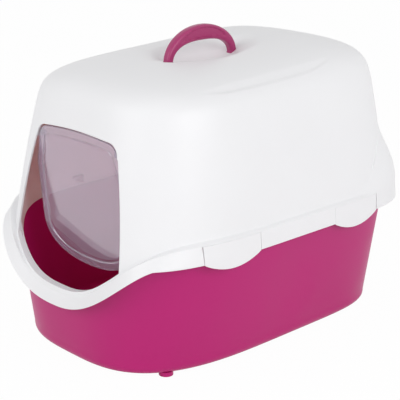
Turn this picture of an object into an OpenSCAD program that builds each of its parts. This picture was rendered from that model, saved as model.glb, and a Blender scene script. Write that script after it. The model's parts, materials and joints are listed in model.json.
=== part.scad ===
// Cat litter box with a lift-off hood, a swing door and a carrying handle.
// Millimetres, +Z up, entrance towards -Y, origin under the middle at the foot plane.

/* [Hood] */
// Half width of the skirt that hangs over the tray
skirt_half_w = 199; // [196:0.5:202]
// Half length of the skirt, front and rear
skirt_half_l = 280.6; // [278:0.2:284]
// Height of the hood wall where the rounded crown begins
crown_start = 322; // [316:1:328]
// Height of the crown over the middle of the box
crown_top = 405.3; // [403:0.1:407]
// Wall thickness of the hood
hood_th = 2.5; // [2:0.1:3]
// Height of the skirt's lower edge along the sides
skirt_low = 169.2; // [167:0.2:172]
// Height of the sharp ridge round the top of the skirt
crest_z = 194; // [192:0.5:196]
// Height at which the wall starts above the ledge
ledge_z = 199; // [198:0.5:202]
// How far the ledge dips under the entrance
sill_dip = 87.6; // [84:0.2:90]
// Height of the ledge round the rear end, above the tall rear flare
rear_ledge_z = 290; // [270:1:300]

/* [Entrance] */
// Half width of the entrance at its top
entry_half_top = 86.6; // [85:0.2:88]
// Height of the entrance's upper edge in the middle
entry_top = 324; // [322:0.5:326]
// Radius of the upper corners of the entrance
entry_corner = 20; // [18:1:22]

/* [Door] */
// Thickness of the door panel
door_th = 2; // [1.6:0.1:2.6]
// Height of the door pins
door_axis_z = 305; // [304:0.5:306]
// Distance of the door pins in front of the middle of the box
door_axis_y = 221; // [220.5:0.5:221.5]
// Diameter of the door pins
door_pin_d = 4; // [3:0.1:4.4]
// Running gap round a pin in its hole
pin_gap = 0.4; // [0.35:0.05:0.6]

/* [Tray] */
// Height of the tray underside above the foot plane
tray_low = 4; // [3:0.5:5]
// Half width of the tray where its bottom rounding ends
tray_half_w = 168.8; // [165:0.2:170]
// Half length of the tray towards the entrance at that height
tray_front = 255.1; // [252:0.1:256]
// Half length of the tray towards the rear at that height
tray_rear = 234.4; // [230:0.1:238]
// Height of the tray rim along the sides
rim_z = 192; // [190:0.5:192]
// Wall thickness of the tray
tray_th = 2.5; // [2:0.1:3]
// Diameter of a foot
foot_d = 20; // [16:1:24]

/* [Handle] */
// Height of the handle pins
handle_axis_z = 389.5; // [388:0.5:391]
// Half span of the handle over its outside
handle_half_span = 69; // [66:0.5:70]
// Rise of the handle above its pins
handle_rise = 51; // [46:0.5:54]
// Diameter of the handle pins
handle_pin_d = 6; // [5:0.5:7]
// Width of the handle at the legs
leg_w = 12; // [10:0.5:13]
// Width of the handle at the grip
grip_w = 16; // [14:0.5:18]
// Half length of the hollow that takes the handle
well_half_l = 106; // [102:1:108]
// Half width of that hollow
well_half_w = 38; // [34:1:42]
// Depth of that hollow
well_depth = 25; // [24:0.5:27]

/* [Tabs] */
// Nearer end of a spring tab from the middle of the box
tab_start = 76.2; // [75:0.2:80]
// Further end of a spring tab
tab_end = 171.8; // [165:0.2:172]
// Gap round a tab
tab_gap = 1.2; // [0.8:0.1:1.6]
// How far the middle of a tab hangs below its ends
tab_drop = 13.2; // [10:0.2:16]

/* [Hidden] */
// Columns of the shell surfaces round the plan
cols = 112;
// Skirt, wall and tray roundness of the plan, front and rear halves
skirt_n = [3.8, 5.3];
wall_n = [3.53, 6.12];
tray_n = [3.15, 5.8];
// Wall plan at the side ledge height: half width, front and rear half lengths, with the lean and the bow of each
wall_side = 192.65;
wall_front = 255.87;
wall_rear = 246;
lean_side = 0.1205;
lean_front = 0.1755;
lean_rear = 0.09;
bow_side = 0.00029;
bow_front = 0.000208;
bow_rear = 0.000045;
// Roundness of the ledge's dip under the entrance, and how much narrower the cut above it is
sill_n = 2.7;
sill_p = 2.5;
sill_squeeze = 1.055;
// The ridge stands this much inside the skirt's lower edge: sides and rear, and more at the front
ridge_in = 1.5;
ridge_in_front = 10;
// Lower edge of the skirt dips by this much under the entrance, between these half widths, with its roundness
lip_dip = 79.3;
lip_half_w = 164;
lip_n = 2.35;
lip_p = 1.3;
// Superellipse exponent of the crown, fall of the crown to the sides, and its rise towards the rear
crown_n = 5.69;
fall_side = 11.8;
roof_tilt = 12.8;
roof_bow = 2.1;
// Share of the hollow's radius that is its sloping wall
well_slope = 0.25;
// Ledge rise of the rear flare begins here and is complete a little further back
flare_start = 150;
flare_run = 110;
// Entrance: widening per millimetre going down, and how much of that is taken back
entry_widen = 0.282;
entry_bow = 0.000723;
entry_arch = 5.5;
entry_ref = 309;
// Tray rounding at the bottom and lean of its walls
tray_round = 17.2;
tray_round_n = 2.78;
tray_lean_side = 0.13;
tray_lean_front = 0.099;
tray_lean_rear = 0.079;
bead_out = 2.7;
bead_h = 6;
foot_h = 6;
foot_x = 130;
foot_front_y = 187.5;
foot_rear_y = 186;
// Door panel: lean of its plane and its place at the height below, gaps to the entrance, lower edge
door_lean = 5;
door_top_y = 228.2;
door_ref = 316;
door_top_gap = 2;
door_side_gap = 1.2;
// Further gap beside the pins, where the door's wider parts swing up past the entrance's sides
door_pivot_gap = 1.9;
door_pivot_start = 258;
door_pivot_run = 30;
door_half_w = 97;
door_corner = 22;
door_low = 127;
door_low_rise = 56;
door_low_n = 2.3;
ear_in = 78.5;
ear_w = 5;
lug_in = 88.3;
lug_w = 4.6;
// Handle sockets
socket_in = 77;
socket_out = 94;
socket_r = 7.5;
socket_hole = 9;
pin_tip = 84;
// Tab
tab_th = 2.5;
notch_top = crest_z;
tab_top = crest_z - 0.6;

white = [0.94, 0.94, 0.95];
magenta = [0.70, 0.20, 0.44];
lilac = [0.75, 0.62, 0.73];

function smooth(v) = let(u = min(max(v, 0), 1)) u * u * (3 - 2 * u);
function mix(a, b, v) = a + (b - a) * v;

// Point of a superellipse plan with its own length and roundness in the front and rear halves.
function plan(q, a, bf, br, n) =
    let(c = cos(q), s = sin(q),
        b = s < 0 ? bf : br,
        m = s < 0 ? n[0] : n[1],
        r = pow(pow(abs(c), m) + pow(abs(s), m), -1 / m))
    [a * c * r, b * s * r];

// Height curves round the box, from a place in the skirt plan.
function sill_curve(x) =
    sill_dip * pow(max(1 - pow(min(abs(x) / (skirt_half_w - 1), 1), sill_n), 0), sill_p);
function dip(p) = p[1] < 0 ? sill_curve(p[0]) : 0;
function lip_curve(x) = lip_dip * pow(max(1 - pow(min(abs(x) / lip_half_w, 1), lip_n), 0), lip_p);
function skirt_z(p) = skirt_low - (p[1] < 0 ? lip_curve(p[0]) : 0);
function ridge_z(p) = crest_z - dip(p) + 2 * smooth((p[1] - flare_start) / flare_run);
function foot_z(p) = ledge_z - dip(p) + (rear_ledge_z - ledge_z) * smooth((p[1] - flare_start) / flare_run);

function skirt_plan(q, off) = plan(q, skirt_half_w - off, skirt_half_l - off, skirt_half_l - off, skirt_n);
function ridge_plan(q, off) =
    let(p = skirt_plan(q, 0), f = p[1] < 0 ? pow(-p[1] / skirt_half_l, skirt_n[0]) : 0,
        i = ridge_in + off)
    plan(q, skirt_half_w - i - ridge_in_front * f, skirt_half_l - ridge_in_front - off,
         skirt_half_l - i - 0.5, skirt_n);
function wall_plan(q, z, off) =
    let(d = z - ledge_z)
    plan(q, wall_side - off - lean_side * d - bow_side * d * d,
         wall_front - off - lean_front * d - bow_front * d * d,
         wall_rear - off - lean_rear * d - bow_rear * d * d, wall_n);
function top_z(p) =
    crown_top - fall_side * pow(p[0] / 165, 2) + roof_tilt * p[1] / 220 + roof_bow * pow(p[1] / 220, 2);

// A crown point at the share f of the way from the middle to the wall plan.
function crown_pt(q, f, off) =
    let(w = wall_plan(q, crown_top, off) * f,
        g = pow(1 - pow(f, crown_n), 1 / crown_n),
        z = mix(crown_start, top_z(w) - off, g),
        p = wall_plan(q, z, off) * f)
    [p[0], p[1], z];

// Share f at which the edge of the hollow is reached in the direction q.
function well_share(q, off) =
    let(w = wall_plan(q, crown_top, off))
    1 / norm([w[0] / (well_half_w + off), w[1] / (well_half_l + off)]);
function well_pt(q, r, off) =
    let(p = crown_pt(q, well_share(q, off) * r, off))
    [p[0], p[1], mix(p[2], crown_top - well_depth - off, smooth((1 - r) / well_slope))];

ledge_rows = [0.25, 0.5, 0.75, 1];
wall_rows = [0.33, 0.67, 1];
crown_rows = [11, 22, 33, 44, 54, 63, 71];
flat_rows = [0.4, 0.75, 1];
well_rows = [0.94, 0.88, 0.81, 0.75, 0.4];
f_flat = pow(cos(71), 2 / crown_n);

function column(q, off) =
    let(s = skirt_plan(q, off), s0 = skirt_plan(q, 0), r = ridge_plan(q, off),
        zr = ridge_z(s0) - 0.9 * off, zf = foot_z(s0) - 0.9 * off, e = well_share(q, off))
    concat(
        [[s[0], s[1], skirt_z(s0)], [r[0], r[1], zr]],
        [for (v = ledge_rows) let(z = mix(zr, zf, v), w = wall_plan(q, z, off), p = mix(r, w, smooth(v)))
            [p[0], p[1], z]],
        [for (v = wall_rows) let(z = mix(zf, crown_start, v), p = wall_plan(q, z, off)) [p[0], p[1], z]],
        [for (a = crown_rows) crown_pt(q, pow(cos(a), 2 / crown_n), off)],
        [for (v = flat_rows) crown_pt(q, mix(f_flat, e, v), off)],
        [for (v = well_rows) well_pt(q, v, off)]);

// Closed shell from two sets of columns that run from the open edge to a pole.
function flat(a) = [for (r = a) for (p = r) p];
function skin(base, rows, n, out) = [
    for (i = [0 : n - 1]) for (j = [0 : rows - 2])
        let(i2 = (i + 1) % n, a = base + i * rows + j, b = base + i2 * rows + j)
        each (out ? [[a, a + 1, b + 1], [a, b + 1, b]] : [[a, b + 1, a + 1], [a, b, b + 1]])];
function cap(base, rows, n, pole, out) = [
    for (i = [0 : n - 1])
        let(a = base + i * rows + rows - 1, b = base + ((i + 1) % n) * rows + rows - 1)
        out ? [a, pole, b] : [a, b, pole]];
module shell(outer, inner, pole_out, pole_in, upright) {
    n = len(outer);
    ro = len(outer[0]);
    ri = len(inner[0]);
    base = n * ro;
    tip = base + n * ri;
    edge = [for (i = [0 : n - 1])
        let(a = i * ro, b = ((i + 1) % n) * ro, c = base + i * ri, d = base + ((i + 1) % n) * ri)
        each (upright ? [[a, b, d], [a, d, c]] : [[a, d, b], [a, c, d]])];
    polyhedron(
        points = concat(flat(outer), flat(inner), [pole_out, pole_in]),
        faces = concat(
            skin(0, ro, n, upright), cap(0, ro, n, tip, upright),
            skin(base, ri, n, !upright), cap(base, ri, n, tip + 1, !upright), edge),
        convexity = 8);
}

module hood_shell() {
    turn = [for (i = [0 : cols - 1]) i * 360 / cols];
    middle = crown_top - well_depth;
    shell([for (q = turn) column(q, 0)], [for (q = turn) column(q, hood_th)],
          [0, 0, middle], [0, 0, middle - hood_th], true);
}

// Entrance outline in X and Z, drawn round from the right side over the top to the left.
function entry_half(z) = let(u = entry_ref - z) entry_half_top + entry_widen * u - entry_bow * u * u;
function sill_at(x) = ledge_z + 1 - sill_curve(x * sill_squeeze);
module entry_outline() {
    cx = entry_half(entry_top - entry_corner) - entry_corner - 0.6;
    cz = entry_top - entry_arch * pow(cx / 80, 2) - entry_corner;
    low = sill_at(entry_half(155));
    side = [for (i = [0 : 6]) let(z = mix(low, cz, i / 6)) [entry_half(z), z]];
    corner = [for (i = [1 : 5]) [cx + entry_corner * cos(i * 18 - 9), cz + entry_corner * sin(i * 18 - 9)]];
    arch = [for (i = [0 : 5]) let(x = cx * (1 - i / 5)) [x, entry_top - entry_arch * pow(x / 80, 2)]];
    sill = [for (i = [0 : 9]) let(x = entry_half(low) * i / 10) [x, sill_at(x)]];
    right = concat(sill, side, corner, arch);
    left = [for (i = [len(right) - 2 : -1 : 1]) [-right[i][0], right[i][1]]];
    polygon(concat(right, left));
}

module notch(side, y) {
    lo = y > 0 ? tab_start - tab_gap : -tab_end - tab_gap;
    translate([side * 210 - 27, lo, 120])
        cube([54, tab_end - tab_start + 2 * tab_gap, notch_top - 120]);
}

module hood() {
    color(white)
    // a resize to nothing leaves the size alone and cuts the surface as one mesh
    resize([0, 0, 0])
    difference() {
        hood_shell();
        translate([0, -150, 0]) rotate([90, 0, 0]) linear_extrude(height = 160) entry_outline();
        for (s = [-1, 1]) for (y = [-1, 1]) notch(s, y);
    }
}

// Outer face of the skirt at a place along the side and a height.
function skirt_x(y, z) =
    let(m = y < 0 ? skirt_n[0] : skirt_n[1],
        k = pow(1 - pow(abs(y) / skirt_half_l, m), 1 / m),
        v = (z - skirt_low) / (crest_z - skirt_low))
    (skirt_half_w - ridge_in * min(max(v, 0), 1)) * k;
function tab_low(u) = skirt_low - tab_drop * pow(sin(180 * u), 0.8);

module tab(side, end) {
    nu = 24;
    nz = 3;
    per = 2 * nz;
    pts = [for (i = [0 : nu]) let(u = i / nu, y = end * mix(tab_start, tab_end, u), lo = tab_low(u))
        each concat(
            [for (j = [0 : nz - 1]) let(z = mix(lo, tab_top, j / (nz - 1))) [side * skirt_x(y, z), y, z]],
            [for (j = [nz - 1 : -1 : 0]) let(z = mix(lo, tab_top, j / (nz - 1)))
                [side * (skirt_x(y, z) - tab_th), y, z]])];
    flip = side * end > 0;
    body = [for (i = [0 : nu - 1]) for (j = [0 : per - 1])
        let(a = i * per + j, b = i * per + (j + 1) % per, c = b + per, d = a + per)
        each (flip ? [[a, b, c], [a, c, d]] : [[a, c, b], [a, d, c]])];
    first = [[0, 1, 4], [0, 4, 5], [1, 2, 3], [1, 3, 4]];
    back = [for (f = first) [f[0], f[2], f[1]]];
    near_end = flip ? back : first;
    far_end = [for (f = flip ? first : back) [for (k = f) nu * per + k]];
    color(white) polyhedron(points = pts, faces = concat(body, near_end, far_end), convexity = 3);
}

// Tray.
function rim_at(p) = rim_z - dip(p);
function tray_plan(q, z, off) =
    let(d = z - tray_low - tray_round)
    plan(q, tray_half_w + off + tray_lean_side * d, tray_front + off + tray_lean_front * d,
         tray_rear + off + tray_lean_rear * d, tray_n);
function at(p, z) = [p[0], p[1], z];
function bottom_pt(q, a, off) =
    let(r = tray_round + off,
        i = r * (1 - pow(sin(a), 2 / tray_round_n)),
        z = tray_low + tray_round - r * pow(cos(a), 2 / tray_round_n),
        z0 = tray_low + tray_round)
    at(tray_plan(q, z0, off - i), z);
function tray_column(q, off, out) =
    let(z0 = tray_low + tray_round,
        rim = rim_at(tray_plan(q, 160, 0)),
        low = rim - bead_h)
    concat(
        out ? [at(tray_plan(q, rim, bead_out), rim), at(tray_plan(q, low + 0.8, bead_out), low + 0.8)]
            : [at(tray_plan(q, rim, off), rim)],
        [for (v = [1, 0.67, 0.33, 0]) let(z = mix(z0, low, v)) at(tray_plan(q, z, off), z)],
        [for (a = [62, 40, 20, 0]) bottom_pt(q, a, off)]);

module tray() {
    n = 96;
    turn = [for (i = [0 : n - 1]) i * 360 / n];
    color(magenta)
    shell([for (q = turn) tray_column(q, 0, true)], [for (q = turn) tray_column(q, -tray_th, false)],
          [0, 0, tray_low], [0, 0, tray_low + tray_th], false);
}

module foot(x, y) {
    color(magenta)
    translate([x, y, 0]) cylinder(d = foot_d, h = foot_h, $fn = 64);
}

// Door: a thin leaning panel with two ears that carry the pins.
function door_half(z) =
    min(door_half_w, entry_half(z) - door_side_gap - door_pivot_gap * smooth((z - door_pivot_start) / door_pivot_run));
module door_outline() {
    top = entry_top - door_top_gap;
    cx = door_half(top - door_corner) - door_corner;
    cz = top - entry_arch * pow(cx / 80, 2) - door_corner;
    low = door_low + door_low_rise;
    bottom = [for (i = [0 : 14]) let(a = i * 90 / 15)
        [door_half_w * pow(sin(a), 2 / door_low_n), low - door_low_rise * pow(cos(a), 2 / door_low_n)]];
    side = [for (i = [0 : 8]) let(z = mix(low, cz, i / 8)) [door_half(z), z]];
    corner = [for (i = [1 : 6]) let(a = i * 15 - 7) [cx + door_corner * cos(a), cz + door_corner * sin(a)]];
    arch = [for (i = [0 : 5]) let(x = cx * (1 - i / 5)) [x, top - entry_arch * pow(x / 80, 2)]];
    right = concat(bottom, side, corner, arch);
    left = [for (i = [len(right) - 2 : -1 : 1]) [-right[i][0], right[i][1]]];
    polygon(concat(right, left));
}

module door() {
    color(lilac) {
        translate([0, -door_top_y, door_ref]) rotate([door_lean, 0, 0]) translate([0, door_th, -door_ref])
            rotate([90, 0, 0]) linear_extrude(height = door_th) door_outline();
        for (s = [-1, 1]) {
            translate([s * (ear_in + ear_w / 2), -door_axis_y, door_axis_z]) rotate([0, 90, 0])
                cylinder(r = door_pin_d / 2 + 2, h = ear_w, center = true, $fn = 48);
            translate([s * (ear_in + ear_w / 2) - ear_w / 2, -door_top_y + 2, door_axis_z - 4])
                cube([ear_w, door_top_y - door_axis_y - 2, 8]);
            translate([s * ear_in, -door_axis_y, door_axis_z]) rotate([0, s * 90, 0])
                cylinder(d = door_pin_d, h = lug_in + lug_w - ear_in, $fn = 48);
        }
    }
}

// Lug on the inside of the front wall that takes a door pin.
module door_socket(side) {
    lo = side > 0 ? lug_in : -lug_in - lug_w;
    color(white)
    difference() {
        translate([lo, 0, 0])
        union() {
            translate([0, -door_axis_y, door_axis_z]) rotate([0, 90, 0]) cylinder(r = 5.4, h = lug_w, $fn = 48);
            translate([0, -door_axis_y - 6, door_axis_z - 5.4]) cube([lug_w, 6, 10.8]);
        }
        translate([lo - 1, -door_axis_y, door_axis_z]) rotate([0, 90, 0])
            cylinder(d = door_pin_d + 2 * pin_gap, h = lug_w + 2, $fn = 48);
    }
}

// Handle: an arch swept from leg to leg, round leg ends and a pin outside each leg.
function arch_out(q) = [handle_half_span * cos(q), handle_rise * sin(q)];
function arch_in(q) =
    [(handle_half_span - 12) * sign(cos(q)) * pow(abs(cos(q)), 0.8), (handle_rise - 22.5) * pow(sin(q), 0.8)];
module handle_arch() {
    ns = 28;
    nr = 12;
    pts = [for (i = [0 : ns])
        let(q = 180 * i / ns, o = arch_out(q), n = arch_in(q), m = (o + n) / 2, h = (o - n) / 2,
            w = mix(leg_w, grip_w, smooth(sin(q))) / 2)
        for (j = [0 : nr - 1])
            let(a = j * 360 / nr + 15, c = sign(cos(a)) * pow(abs(cos(a)), 0.55),
                s = sign(sin(a)) * pow(abs(sin(a)), 0.55), p = m + h * c)
            [w * s, p[0], handle_axis_z + p[1]]];
    body = [for (i = [0 : ns - 1]) for (j = [0 : nr - 1])
        let(a = i * nr + j, b = i * nr + (j + 1) % nr, c = b + nr, d = a + nr)
        each [[a, b, c], [a, c, d]]];
    polyhedron(
        points = pts,
        faces = concat(body, [[for (j = [nr - 1 : -1 : 0]) j], [for (j = [0 : nr - 1]) ns * nr + j]]),
        convexity = 4);
}

module handle() {
    color(magenta) {
        handle_arch();
        for (s = [-1, 1]) {
            translate([0, s * (handle_half_span - 6), handle_axis_z]) rotate([90, 0, 0])
                cylinder(r = leg_w / 2 + 0.2, h = 12.4, center = true, $fn = 64);
            translate([0, s * (handle_half_span - 6), handle_axis_z]) rotate([-s * 90, 0, 0])
                cylinder(d = handle_pin_d, h = pin_tip - handle_half_span + 6, $fn = 48);
        }
    }
}

// Block at an end of the hollow that takes a handle pin.
module handle_socket(side) {
    len_y = socket_out - socket_in;
    mid = side * (socket_in + socket_out) / 2;
    low = 15.5;
    color(white)
    difference() {
        union() {
            translate([0, mid, handle_axis_z]) rotate([90, 0, 0])
                cylinder(r = socket_r, h = len_y, center = true, $fn = 64);
            translate([-socket_r, mid - len_y / 2, handle_axis_z - low]) cube([2 * socket_r, len_y, low]);
        }
        translate([0, side * (socket_in - 1), handle_axis_z]) rotate([-side * 90, 0, 0])
            cylinder(d = handle_pin_d + 2 * pin_gap, h = socket_hole + 1, $fn = 64);
    }
}

module foot_front_left() { foot(-foot_x, -foot_front_y); }
module foot_front_right() { foot(foot_x, -foot_front_y); }
module foot_rear_left() { foot(-foot_x, foot_rear_y); }
module foot_rear_right() { foot(foot_x, foot_rear_y); }
module tab_front_left() { tab(-1, -1); }
module tab_front_right() { tab(1, -1); }
module tab_rear_left() { tab(-1, 1); }
module tab_rear_right() { tab(1, 1); }
module door_socket_left() { door_socket(-1); }
module door_socket_right() { door_socket(1); }
module handle_socket_front() { handle_socket(-1); }
module handle_socket_rear() { handle_socket(1); }

tray();
foot_front_left();
foot_front_right();
foot_rear_left();
foot_rear_right();
hood();
tab_front_left();
tab_front_right();
tab_rear_left();
tab_rear_right();
door();
door_socket_left();
door_socket_right();
handle();
handle_socket_front();
handle_socket_rear();
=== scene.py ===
"""Cat litter box with a lift-off hood, a swing door and a fold-down handle.

Every surface is a function of two parameters, worked out with numpy on a grid of rings.
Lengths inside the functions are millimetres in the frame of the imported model: +Z up,
the entrance towards -Y, the origin under the middle of the box on the plane of its feet.
"""
import json
import math

import bpy
import numpy as np
from bpy.props import FloatProperty, FloatVectorProperty, PointerProperty
from bpy.types import Operator, Panel, PropertyGroup
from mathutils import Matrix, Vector


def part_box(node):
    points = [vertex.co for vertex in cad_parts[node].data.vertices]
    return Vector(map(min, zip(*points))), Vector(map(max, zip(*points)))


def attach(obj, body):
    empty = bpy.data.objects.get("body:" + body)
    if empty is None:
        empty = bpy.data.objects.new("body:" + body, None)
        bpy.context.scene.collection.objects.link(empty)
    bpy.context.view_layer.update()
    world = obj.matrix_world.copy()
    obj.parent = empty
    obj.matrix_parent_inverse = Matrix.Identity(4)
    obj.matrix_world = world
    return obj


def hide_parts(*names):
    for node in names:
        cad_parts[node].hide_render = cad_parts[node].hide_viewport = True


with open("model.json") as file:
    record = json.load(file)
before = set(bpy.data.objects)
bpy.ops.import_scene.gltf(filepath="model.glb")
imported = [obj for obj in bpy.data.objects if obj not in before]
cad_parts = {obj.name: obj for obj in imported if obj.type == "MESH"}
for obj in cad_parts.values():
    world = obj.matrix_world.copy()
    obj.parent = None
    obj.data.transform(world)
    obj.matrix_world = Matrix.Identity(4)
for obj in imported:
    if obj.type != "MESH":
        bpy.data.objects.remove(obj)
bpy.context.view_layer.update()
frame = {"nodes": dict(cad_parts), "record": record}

bl_info = {
    "name": "Hooded cat litter box",
    "version": (1, 0, 0),
    "blender": (4, 5, 0),
    "location": "View3D > Sidebar > Litter box",
    "description": "Builds a covered cat litter box with its tray, hood, swing door and handle",
    "category": "Add Mesh",
}

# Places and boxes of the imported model, in metres
JOINTS = {j["name"]: j for j in frame["record"]["behaviour"]["joints"]}
DOOR_AXIS = JOINTS["door_swing"]["pos_m"]
HANDLE_AXIS = JOINTS["handle_fold"]["pos_m"]
HOOD_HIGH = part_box("hood")[1]
TRAY_LOW, TRAY_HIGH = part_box("tray")
TAB_LOW, TAB_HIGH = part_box("tab_rear_right")
DOOR_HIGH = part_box("door")[1]
HANDLE_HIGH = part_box("handle")[1]


def linear(code):
    """sRGB hex to linear RGB: the power curve of the sRGB standard, channel by channel."""
    c = np.array([int(code[i:i + 2], 16) for i in (0, 2, 4)]) / 255
    return tuple(float(v) for v in np.where(c <= 0.04045, c / 12.92, ((c + 0.055) / 1.055) ** 2.4))


def length(name, description, default):
    """A length property in metres."""
    return FloatProperty(name=name, description=description, default=default, unit="LENGTH", precision=4)


def colour(name, description, code):
    """A colour property from an sRGB hex value."""
    return FloatVectorProperty(name=name, description=description, subtype="COLOR", size=3,
                               min=0, max=1, default=linear(code))


class LitterBoxSizes(PropertyGroup):
    """Sizes of the litter box."""
    skirt_half_w: length("Skirt half width", "Half width of the skirt over the tray", HOOD_HIGH[0])
    skirt_half_l: length("Skirt half length", "Half length of the skirt", HOOD_HIGH[1])
    crown_top: length("Crown height", "Height of the crown over the middle", 0.4053)
    crown_start: length("Crown start", "Height at which the wall begins to round over", 0.322)
    hood_th: length("Hood wall", "Wall thickness of the hood", 0.0025)
    skirt_low: length("Skirt edge", "Height of the skirt's lower edge at the sides", 0.1692)
    crest_z: length("Ridge height", "Height of the ridge at the top of the skirt", 0.194)
    ledge_z: length("Ledge height", "Height at which the wall starts", 0.199)
    sill_dip: length("Sill dip", "How far the ledge dips under the entrance", 0.0876)
    lip_dip: length("Lip dip", "How far the skirt's lower edge dips at the front", 0.0793)
    rear_ledge_z: length("Rear flare height", "Height of the ledge above the rear flare", 0.290)
    well_half_l: length("Handle hollow half length", "Half length of the hollow for the handle", 0.106)
    well_half_w: length("Handle hollow half width", "Half width of the hollow for the handle", 0.066)
    well_depth: length("Handle hollow depth", "Depth of the hollow for the handle", 0.025)
    entry_half_top: length("Entrance half width", "Half width of the entrance at its top", 0.0866)
    entry_top: length("Entrance top", "Height of the entrance's upper edge", 0.324)
    entry_corner: length("Entrance corner", "Radius of the entrance's upper corners", 0.020)
    door_th: length("Door panel", "Thickness of the door panel", 0.002)
    door_half_w: length("Door half width", "Half width of the door panel at its widest", DOOR_HIGH[0])
    tray_low: length("Tray underside", "Height of the tray's underside", TRAY_LOW[2])
    tray_half_w: length("Tray half width", "Half width of the tray above its bottom rounding", 0.1688)
    tray_front: length("Tray front length", "Length of the tray towards the entrance", 0.2551)
    tray_rear: length("Tray rear length", "Length of the tray towards the rear", 0.2344)
    tray_th: length("Tray wall", "Wall thickness of the tray", 0.0025)
    rim_z: length("Tray rim height", "Height of the tray's rim at the sides", TRAY_HIGH[2])
    handle_half_span: length("Handle half span", "Half span of the handle over its legs", 0.069)
    handle_rise: length("Handle rise", "Rise of the handle above its pins", HANDLE_HIGH[2] - HANDLE_AXIS[2])


class LitterBoxColours(PropertyGroup):
    """Colours of the litter box."""
    hood: colour("Hood", "White polypropylene of the hood", "F3F3F5")
    tray: colour("Tray", "Magenta polypropylene of the tray", "B71B70")
    handle: colour("Handle", "Magenta polypropylene of the handle", "A52C68")
    door: colour("Door", "Lilac tint of the swing door", "E8D9F0")
    floor: colour("Floor", "Pale floor", "F6F6F6")


def millimetres():
    """The length properties of the scene as a plain object of millimetre values."""
    sizes = bpy.context.scene.litter_box_sizes
    names = LitterBoxSizes.__annotations__
    return type("Sizes", (), {n: getattr(sizes, n) * 1000 for n in names})


# ---------------------------------------------------------------- shape helpers

# Directions of the points of a ring, all round
TURN = np.linspace(0, 2 * np.pi, 384, endpoint=False)
# Angle in degrees over which an edge is drawn sharp
SHARP = 38.0


def smooth(v):
    """Cubic ease from 0 to 1."""
    v = np.clip(v, 0, 1)
    return v * v * (3 - 2 * v)


def mix(a, b, v):
    """Straight mix of a and b."""
    return a + (b - a) * v


def spow(v, p):
    """Power that keeps the sign."""
    return np.sign(v) * np.abs(v) ** p


def plan(q, a, front, rear, n):
    """Superellipse plan at the direction q, with its own length and exponent in each half."""
    c, s = np.cos(q), np.sin(q)
    b, m = np.where(s < 0, front, rear), np.where(s < 0, n[0], n[1])
    r = (np.abs(c) ** m + np.abs(s) ** m) ** (-1 / m)
    return a * c * r, b * s * r


def ring(x, y, z):
    """Stacks three arrays into points."""
    return np.stack(np.broadcast_arrays(x, y, z), -1)


def bell(x, half_w, powers):
    """Bell of powers, 1 in the middle and 0 from half_w outwards."""
    return np.maximum(1 - np.minimum(np.abs(x) / half_w, 1) ** powers[0], 0) ** powers[1]


def capped(rows, start, end):
    """The rings with a pole before and a pole after them."""
    rows = np.asarray(rows, float)
    poles = [np.broadcast_to(pole, (1,) + rows.shape[1:]) for pole in (start, end)]
    return np.concatenate([poles[0], rows, poles[1]])


def skin(name, rings):
    """Closed mesh from rings that run from one pole to another. Each ring is a row of a grid,
    neighbouring rows are joined by quads, and the first and last rows shrink to a point."""
    rings = np.asarray(rings, float)
    rows, cols = rings.shape[:2]
    inner = rings[1:-1].reshape(-1, 3)
    verts = np.vstack([inner, rings[0].mean(0), rings[-1].mean(0)]) * 0.001
    i, j = np.meshgrid(np.arange(rows - 3), np.arange(cols), indexing="ij")
    k = (j + 1) % cols
    quads = np.stack([i * cols + j, i * cols + k, (i + 1) * cols + k, (i + 1) * cols + j], -1).reshape(-1, 4)
    c = np.arange(cols)
    d = (c + 1) % cols
    top, end = (rows - 2) * cols, (rows - 3) * cols
    caps = np.vstack([np.stack([np.full(cols, top), d, c], -1),
                      np.stack([np.full(cols, top + 1), end + c, end + d], -1)])
    tris = np.vstack([quads[:, :3], quads[:, [0, 2, 3]], caps])
    a, b, e = verts[tris[:, 0]], verts[tris[:, 1]], verts[tris[:, 2]]
    if np.einsum("ij,ij->i", a, np.cross(b, e)).sum() < 0:
        quads, caps = quads[:, ::-1], caps[:, ::-1]
    return mesh_object(name, verts, quads, caps)


def mesh_object(name, verts, quads, tris):
    """Object from vertex, quad and triangle arrays."""
    mesh = bpy.data.meshes.new(name)
    mesh.vertices.add(len(verts))
    mesh.vertices.foreach_set("co", verts.ravel())
    loops = np.concatenate([quads.ravel(), tris.ravel()])
    mesh.loops.add(len(loops))
    mesh.loops.foreach_set("vertex_index", loops)
    starts = np.concatenate([np.arange(len(quads)) * 4, len(quads) * 4 + np.arange(len(tris)) * 3])
    mesh.polygons.add(len(starts))
    mesh.polygons.foreach_set("loop_start", starts)
    mesh.update(calc_edges=True)
    if mesh.validate():
        raise RuntimeError(f"{name} has faces that don't hold together")
    finish_shading(mesh)
    obj = bpy.data.objects.new(name, mesh)
    bpy.context.scene.collection.objects.link(obj)
    return obj


def finish_shading(mesh):
    """Smooth faces, and sharp edges where they meet at more than the angle SHARP."""
    mesh.polygons.foreach_set("use_smooth", np.ones(len(mesh.polygons), bool))
    mesh.set_sharp_from_angle(angle=math.radians(SHARP))
    mesh.update()


def round_edge(e, r):
    """How far a face draws back at the distance e from its edge, for an edge rounded by r."""
    e = np.clip(e, 0, r)
    return r - np.sqrt(np.maximum(r * r - (r - e) ** 2, 0))


def edge_distance(p, outline):
    """Distance of each point to the nearest point of a closed outline."""
    return np.sqrt(((p[:, None] - outline[None]) ** 2).sum(-1).min(1))


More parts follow.
